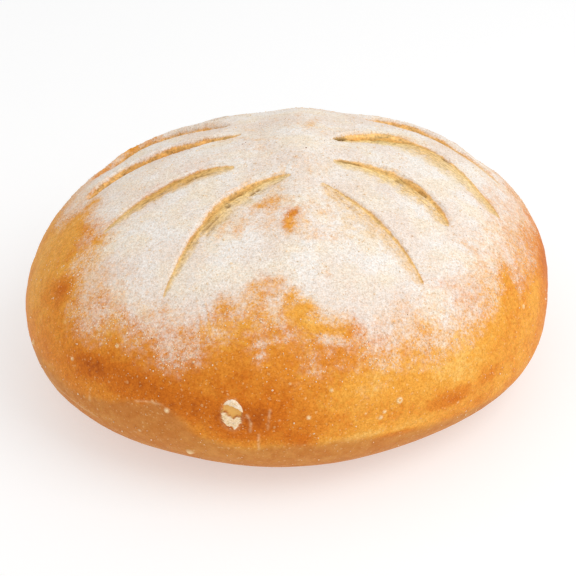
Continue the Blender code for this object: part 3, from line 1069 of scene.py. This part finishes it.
@once
def baked_tone():
    """Colour and fine relief of baked crust: mottled, finely pored and with pale specks."""
    inputs = {"Position": "Vector", "Bake": "Float", "Steam": "Float", "Pale": "Float"}
    net, start, end = start_group("baked_tone", inputs, {"Color": "Color", "Height": "Float"})
    place = start["Position"]
    broad = net.noise(place, 0.016, 3.0)
    small = net.noise(place, 0.0045, 3.0, 0.6)
    fine = net.noise(place, 0.0014, 2.0, 0.6)
    bake = net.total(
        start["Bake"],
        net.times(broad, 0.42),
        net.times(small, 0.40),
        net.times(fine, 0.40),
    )
    colour = net.ramp(bake, BAKE_COLOURS)
    steamed = net.mix(net.step(small, -0.2, 0.2), *STEAM_COLOURS)
    colour = net.mix(net.times(start["Steam"], 0.7), colour, steamed)
    speck = 0.0
    for spacing in (0.0021, 0.0012):
        distance, random = net.cells(place, spacing)
        size = net.times(net.maths("POWER", random, 2.2), 0.25)
        size = net.total(size, net.times(fine, 0.9))
        dot = net.step(net.maths("SUBTRACT", size, distance), -0.09, 0.09)
        speck = net.maths("MAXIMUM", speck, dot)
    colour = net.mix(net.times(speck, 0.34), colour, SPECK_COLOUR)
    pores = net.step(net.noise(place, 0.0008, 2.0, 0.6), 0.03, 0.22)
    colour = net.mix(net.times(pores, 0.14), colour, PORE_COLOUR)
    colour = net.mix(start["Pale"], colour, PALE_SKIN)
    # Fine grain of tone, partly painted shade of the crust's fine dimples.
    grained_and_shaded = mottle(net, place, colour, (0.9, 1.3, 2.2))
    net.feed(end["Color"], net.mix(net.times(start["Steam"], 0.6), grained_and_shaded, colour))
    height = net.total(
        net.times(small, 0.00025), net.times(fine, 0.00014), net.times(speck, 0.00008)
    )
    net.feed(end["Height"], height)
    return net.tree


WARM_FLOUR = (0.93, 0.83, 0.69)
DULL_FLOUR = (0.87, 0.75, 0.66)
PEPPER = (0.60, 0.43, 0.24)


@once
def flour_dust(colour):
    """Mask, colour and relief of dry flour, grainy where it thins out."""
    outputs = {"Mask": "Float", "Color": "Color", "Height": "Float"}
    net, start, end = start_group("flour_dust", {"Position": "Vector", "Cover": "Float"}, outputs)
    place = start["Position"]
    drifts = net.noise(place, 0.010, 3.0, 0.55)
    clumps = net.noise(place, 0.0030, 2.0, 0.6)
    grains = net.noise(place, 0.00105, 2.0, 0.65)
    laid = net.total(start["Cover"], net.times(drifts, 0.7), net.times(clumps, 0.8))
    film = net.step(laid, -0.05, 1.05)
    contrast = net.maths("SUBTRACT", 1.7, net.times(film, 0.9))
    grainy = net.times(net.times(grains, contrast), net.step(film, 0.02, 0.30))
    mask = net.maths("ADD", net.times(film, 0.94), grainy, clamp=True)
    mask = net.times(mask, net.step(start["Cover"], 0.0, 0.12))
    net.feed(end["Mask"], mask)
    warmth = net.step(net.noise(place, 0.013, 2.0), -0.12, 0.16)
    colour = net.mix(warmth, colour, WARM_FLOUR)
    dullness = net.step(net.noise(place, 0.021, 2.0), -0.14, 0.16)
    colour = net.mix(net.times(dullness, 0.8), colour, DULL_FLOUR)
    pepper = net.step(net.noise(place, 0.0011, 2.0, 0.7), 0.12, 0.20)
    tint = net.mix(net.times(pepper, 0.5), colour, PEPPER)
    # Fine grain of tone, partly painted shade of the flour's fine relief.
    net.feed(end["Color"], mottle(net, place, tint, (0.80, 0.85, 0.95)))
    height = net.times(net.total(grains, net.times(clumps, 0.8)), 0.00022)
    net.feed(end["Height"], net.times(height, mask))
    return net.tree


# Colours across a slash, from its back lip to the front of its floor, with painted shade
# making them darker round the crevice, from 0.21 to 0.31.
GASH_COLOURS_AND_SHADE = (
    (0.0, (0.86, 0.52, 0.29)), (0.05, (0.89, 0.56, 0.22)), (0.13, (0.93, 0.63, 0.27)),
    (0.21, (0.78, 0.45, 0.14)), (0.26, (0.68, 0.41, 0.13)), (0.31, (0.82, 0.53, 0.17)),
    (0.42, (0.89, 0.66, 0.29)), (0.7, (0.91, 0.71, 0.37)), (1.0, (0.93, 0.77, 0.47)),
)
SHALLOW_COLOURS = (
    (0.0, (0.87, 0.6, 0.36)), (0.15, (0.84, 0.54, 0.25)), (0.3, (0.9, 0.66, 0.32)),
    (0.6, (0.9, 0.74, 0.48)), (1.0, (0.91, 0.78, 0.57)),
)
# Painted shade for the crevices, seams, holes and cracks of the slashes.
CREVICE_SHADE = (0.20, 0.11, 0.03)
TOASTED = (0.84, 0.66, 0.42)


def torn_crumb():
    """Colour and relief of a slash's torn inside, streaked and cracked along it, with
    painted shade darkening its crevice, seams, holes and cracks.
    """
    names = ("Section", "Along", "Ahead", "Gash", "Crack", "Bake")
    inputs = {"Position": "Vector"} | dict.fromkeys(names, "Float")
    net, start, end = start_group("torn_crumb", inputs, {"Color": "Color", "Height": "Float"})
    streaked = net.vector(net.times(start["Along"], 0.14), start["Ahead"], 0.0)
    fibres = net.noise(streaked, 0.0012, 3.0, 0.65, 0.6)
    layers = net.noise(streaked, 0.0018, 2.0, 0.5, 0.5)
    pores = net.noise(start["Position"], 0.0014, 2.0, 0.65)
    blotches = net.noise(start["Position"], 0.006, 2.0)
    place = net.maths("DIVIDE", net.maths("ADD", start["Section"], 1.05), 2.3)
    place = net.total(place, net.times(fibres, 0.12), net.times(blotches, 0.16))
    colour = net.ramp(place, GASH_COLOURS_AND_SHADE)
    colour = net.mix(start["Gash"], net.ramp(place, SHALLOW_COLOURS), colour)
    toast = net.step(start["Bake"], 0.12, 0.60)
    colour = net.mix(toast, colour, TOASTED, "MULTIPLY")
    streaks = net.times(fibres, net.total(net.times(start["Gash"], 1.6), 1.0))
    shade = net.total(streaks, net.times(pores, 1.8), 1.0)
    shade = net.vector(shade, shade, shade)
    colour = net.mix(0.75, colour, shade, "MULTIPLY")
    # Painted shade: seams and holes deep in a gash, and its cracks, take the dark crevice colour.
    inner = net.times(net.step(place, 0.14, 0.24), net.step(place, 0.85, 0.60))
    seam_shade = net.step(net.maths("ABSOLUTE", layers), 0.06, 0.01)
    here = net.step(net.noise(start["Position"], 0.009, 2.0), 0.02, 0.10)
    hole_shade = net.step(pores, 0.20, 0.28)
    dark = net.times(net.maths("MAXIMUM", net.times(seam_shade, here), hole_shade), inner)
    dark = net.times(net.times(dark, 0.55), start["Gash"])
    dark = net.maths("MAXIMUM", dark, start["Crack"])
    colour = net.mix(dark, colour, CREVICE_SHADE)
    net.feed(end["Color"], colour)
    height = net.total(net.times(fibres, 0.00030), net.times(pores, 0.00014))
    height = net.maths("SUBTRACT", height, net.times(dark, 0.0002))
    net.feed(end["Height"], height)
    return net.tree


def start_material(name):
    """(material, net, shader, Object coordinates)"""
    material = bpy.data.materials.new(name)
    material.use_nodes = True
    net = Wiring(material.node_tree)
    shader = material.node_tree.nodes["Principled BSDF"]
    return material, net, shader, net.add("TexCoord").outputs["Object"]


def dress(net, shader, colour, roughness, height):
    """Gives a shader its colour, its roughness and fine relief from a height in metres."""
    bump = net.add("Bump")
    net.feed(bump.inputs["Strength"], 1.0)
    net.feed(bump.inputs["Distance"], 1.0)
    net.feed(bump.inputs["Height"], height)
    net.feed(shader.inputs["Base Color"], colour)
    net.feed(shader.inputs["Roughness"], roughness)
    net.feed(shader.inputs["Normal"], bump.outputs["Normal"])


def crust_material(flour):
    material, net, shader, place = start_material("loaf_crust")
    tone = net.group(baked_tone(), Position=place, **net.masks("bake", "steam", "pale"))
    names = ("section", "along", "ahead", "gash", "crack", "bake")
    crumb = net.group(torn_crumb(), Position=place, **net.masks(*names))
    dust = net.group(flour_dust(flour.colour), Position=place, Cover=net.attribute("flour"))
    raw = net.attribute("raw")
    torn = net.attribute("torn")
    colour = net.mix(raw, tone["Color"], RAW_DOUGH)
    colour = net.mix(torn, colour, crumb["Color"])
    colour = net.mix(dust["Mask"], colour, dust["Color"])
    shader.inputs["Specular IOR Level"].default_value = 0.10
    dull = net.maths("MAXIMUM", dust["Mask"], torn)
    roughness = net.total(net.times(dull, 0.40), 0.55)
    height = net.total(
        net.times(tone["Height"], net.less(torn)),
        net.times(crumb["Height"], torn),
        dust["Height"],
    )
    dress(net, shader, colour, roughness, height)
    return material


GRAIN_TINT = (1.00, 0.82, 0.60)  # what the crust lends to single grains
GRAIN_SIZES = (0.00021, 0.34)  # median half width, and the spread of its logarithm
CRUMB_SIZES = (0.00017, 0.35)
SKIN_THICKNESS = 0.00022


def grain_material(flour):
    material, net, shader, place = start_material("flour_grain")
    dust = net.group(flour_dust(flour.colour), Position=place, Cover=1.0)
    tinted = net.mix(0.9, dust["Color"], GRAIN_TINT, "MULTIPLY")
    dress(net, shader, tinted, 0.95, dust["Height"])
    return material


def crumb_material():
    material, net, shader, place = start_material("toasted_crumb")
    tone = net.group(baked_tone(), Position=place, Bake=1.0, Steam=0.0, Pale=0.0)
    dark = net.mix(0.8, tone["Color"], BURNT, "MULTIPLY")
    dress(net, shader, dark, 0.7, tone["Height"])
    return material


def skin_material(flour):
    material, net, shader, place = start_material("blister_skin")
    tone = net.group(baked_tone(), Position=place, Bake=0.2, Steam=0.0, Pale=0.75)
    dust = net.group(flour_dust(flour.colour), Position=place, Cover=0.45)
    colour = net.mix(dust["Mask"], tone["Color"], dust["Color"])
    dress(net, shader, colour, 0.75, net.total(tone["Height"], dust["Height"]))
    return material


class LOAF_OT_crust(bpy.types.Operator):
    """Make the loaf's crust, with its slashes and blisters"""

    bl_idname = "loaf.crust"
    bl_label = "Crust"

    def execute(self, context):
        settings = context.scene
        loaf = build_crust(settings.loaf_shape)
        finish_piece(loaf, "loaf_crust", crust_material(settings.loaf_flour))
        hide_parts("loaf")
        return {"FINISHED"}


class LOAF_OT_flour_grains(bpy.types.Operator):
    """Scatter loose grains of flour, mostly where the dusting thins out"""

    bl_idname = "loaf.flour_grains"
    bl_label = "Flour Grains"

    def execute(self, context):
        flour = context.scene.loaf_flour
        ground = bpy.data.objects["loaf_crust"]
        cover = read_values(ground.data, "flour")
        torn = read_values(ground.data, "torn")
        points = read_points(ground.data)
        fringe = bell(cover - 0.38, 0.26) + 0.16 * (cover > 0.7)
        fringe *= 0.2 + 0.8 * smooth_step(cover / 0.15)
        clumped = smooth_step(noise_at(points, 0.007, 51, 3) + 0.55)
        weights = fringe * clumped * (1 - 0.9 * torn)
        grains = lay_crumbs(
            "flour_grains", ground, weights, flour.grain_count, GRAIN_SIZES, flour.seed
        )
        finish_piece(grains, "flour_grains", grain_material(flour))
        return {"FINISHED"}


class LOAF_OT_toasted_crumbs(bpy.types.Operator):
    """Scatter a few dark toasted crumbs over the flour"""

    bl_idname = "loaf.toasted_crumbs"
    bl_label = "Toasted Crumbs"

    def execute(self, context):
        flour = context.scene.loaf_flour
        ground = bpy.data.objects["loaf_crust"]
        weights = 0.1 + read_values(ground.data, "flour")
        weights *= read_points(ground.data)[:, 2] > 0.3 * HEIGHT
        crumbs = lay_crumbs(
            "toasted_crumbs", ground, weights, flour.crumb_count, CRUMB_SIZES, flour.seed + 1
        )
        finish_piece(crumbs, "toasted_crumbs", crumb_material())
        return {"FINISHED"}


class LOAF_OT_blister_skin(bpy.types.Operator):
    """Make the curl of pale skin at the top of the burst blister"""

    bl_idname = "loaf.blister_skin"
    bl_label = "Blister Skin"

    def execute(self, context):
        skin = build_blister_skin()
        finish_piece(skin, "blister_skin", skin_material(context.scene.loaf_flour))
        return {"FINISHED"}


def build_blister_skin():
    """A crescent along the blister's upper rim, whose inner edge lifts off the crust."""
    steps = (36, 8)
    skin = start_piece(
        bpy.ops.mesh.primitive_grid_add, x_subdivisions=steps[0], y_subdivisions=steps[1], size=2
    )
    flat = read_points(skin.data)
    along = (flat[:, 0] + 1) / 2
    inner = (1 - flat[:, 1]) / 2
    turn = np.radians(140 - 124 * along)
    fullness = np.sin(math.pi * np.clip(along, 0.001, 0.999)) ** 0.6
    ragged = 0.05 * noise_at(np.stack([along * 6, inner, along * 0], 1), 1.0, 81, 2)
    reach = 1.12 - (0.44 * fullness + ragged) * inner
    middle, right, up, degree = burst_frame()
    outward = np.cross(right, up)
    u = reach * np.cos(turn) * BURST_SIZE[0]
    v = reach * np.sin(turn) * BURST_SIZE[1]
    azimuth = np.degrees(u / np.linalg.norm(middle[:2])) + BURST_MIDDLE[0]
    latitude = BURST_MIDDLE[1] + v / degree
    lift = 0.00005 + 0.0009 * fullness * np.sin(math.pi * 0.55 * inner)
    points = dome_at(np.stack([azimuth, latitude], 1)) + outward * lift[:, None]
    write_points(skin.data, points)
    solid = skin.modifiers.new("thickness", "SOLIDIFY")
    solid.thickness = SKIN_THICKNESS
    solid.offset = 1
    bpy.ops.object.modifier_apply(modifier=solid.name)
    return skin


FLOOR_SIZE = 8
FLOOR_GREY = (0.6, 0.6, 0.6)
FLOOR_GLOW = 0.45
WHITE = (1, 1, 1)
ROOM_LIGHT = 0.72
KEY_POWER = 5.2  # watts
KEY_SIZE = 0.9
KEY_PLACE = Vector((0.7, -0.35, 0.9))
KEY_AIM = Vector((0, 0, 0.05))
LENS_LENGTH = 85  # millimetres, as is the next
SENSOR_WIDTH = 36
AIM_BACK = 0.0013  # how far behind the loaf's middle the middle of the view lies


def hang(name, data, place, ahead):
    """Puts a light or a camera at a place, looking ahead."""
    thing = bpy.data.objects.new(name, data)
    thing.location = place
    thing.rotation_euler = ahead.to_track_quat("-Z", "Y").to_euler()
    bpy.context.scene.collection.objects.link(thing)
    return thing


class LOAF_OT_stage(bpy.types.Operator):
    """Make the floor, the lights and the camera"""

    bl_idname = "loaf.stage"
    bl_label = "Stage"

    def execute(self, context):
        stage = context.scene.loaf_stage
        floor = start_piece(bpy.ops.mesh.primitive_plane_add, size=FLOOR_SIZE)
        floor.name = "floor"
        material, net, shader, _ = start_material("floor")
        net.feed(shader.inputs["Base Color"], FLOOR_GREY)
        net.feed(shader.inputs["Roughness"], 0.9)
        net.feed(shader.inputs["Emission Color"], WHITE)
        net.feed(shader.inputs["Emission Strength"], FLOOR_GLOW)
        floor.data.materials.append(material)
        world = bpy.data.worlds.new("studio")
        world.use_nodes = True
        room = world.node_tree.nodes["Background"]
        room.inputs["Color"].default_value = (*WHITE, 1)
        room.inputs["Strength"].default_value = ROOM_LIGHT
        context.scene.world = world
        light = bpy.data.lights.new("key", "AREA")
        light.energy = KEY_POWER
        light.size = KEY_SIZE
        hang("key", light, KEY_PLACE, KEY_AIM - KEY_PLACE)
        lens = bpy.data.cameras.new("camera")
        lens.lens = LENS_LENGTH
        lens.sensor_width = SENSOR_WIDTH
        aim = Vector((stage.aim_right, AIM_BACK, stage.aim_height))
        back = Vector((0, -math.cos(stage.elevation), math.sin(stage.elevation)))
        context.scene.camera = hang("camera", lens, aim + back * stage.distance, -back)
        context.scene.view_settings.view_transform = "Standard"
        return {"FINISHED"}


class LOAF_PT_panel(bpy.types.Panel):
    bl_idname = "LOAF_PT_panel"
    bl_label = "Country Loaf"
    bl_space_type = "VIEW_3D"
    bl_region_type = "UI"
    bl_category = "Loaf"

    def draw(self, context):
        for operator in OPERATORS:
            self.layout.operator(operator.bl_idname)


OPERATORS = (
    LOAF_OT_crust,
    LOAF_OT_flour_grains,
    LOAF_OT_toasted_crumbs,
    LOAF_OT_blister_skin,
    LOAF_OT_stage,
)
GROUPS = {"loaf_shape": LoafShape, "loaf_flour": LoafFlour, "loaf_stage": LoafStage}


def register():
    for name, group in GROUPS.items():
        bpy.utils.register_class(group)
        setattr(bpy.types.Scene, name, bpy.props.PointerProperty(type=group))
    for kind in (*OPERATORS, LOAF_PT_panel):
        bpy.utils.register_class(kind)


def unregister():
    for kind in (LOAF_PT_panel, *reversed(OPERATORS)):
        bpy.utils.unregister_class(kind)
    for name, group in GROUPS.items():
        delattr(bpy.types.Scene, name)
        bpy.utils.unregister_class(group)


def main():
    register()
    bpy.ops.loaf.crust()
    bpy.ops.loaf.flour_grains()
    bpy.ops.loaf.toasted_crumbs()
    bpy.ops.loaf.blister_skin()
    bpy.ops.loaf.stage()


if __name__ == "__main__":
    main()
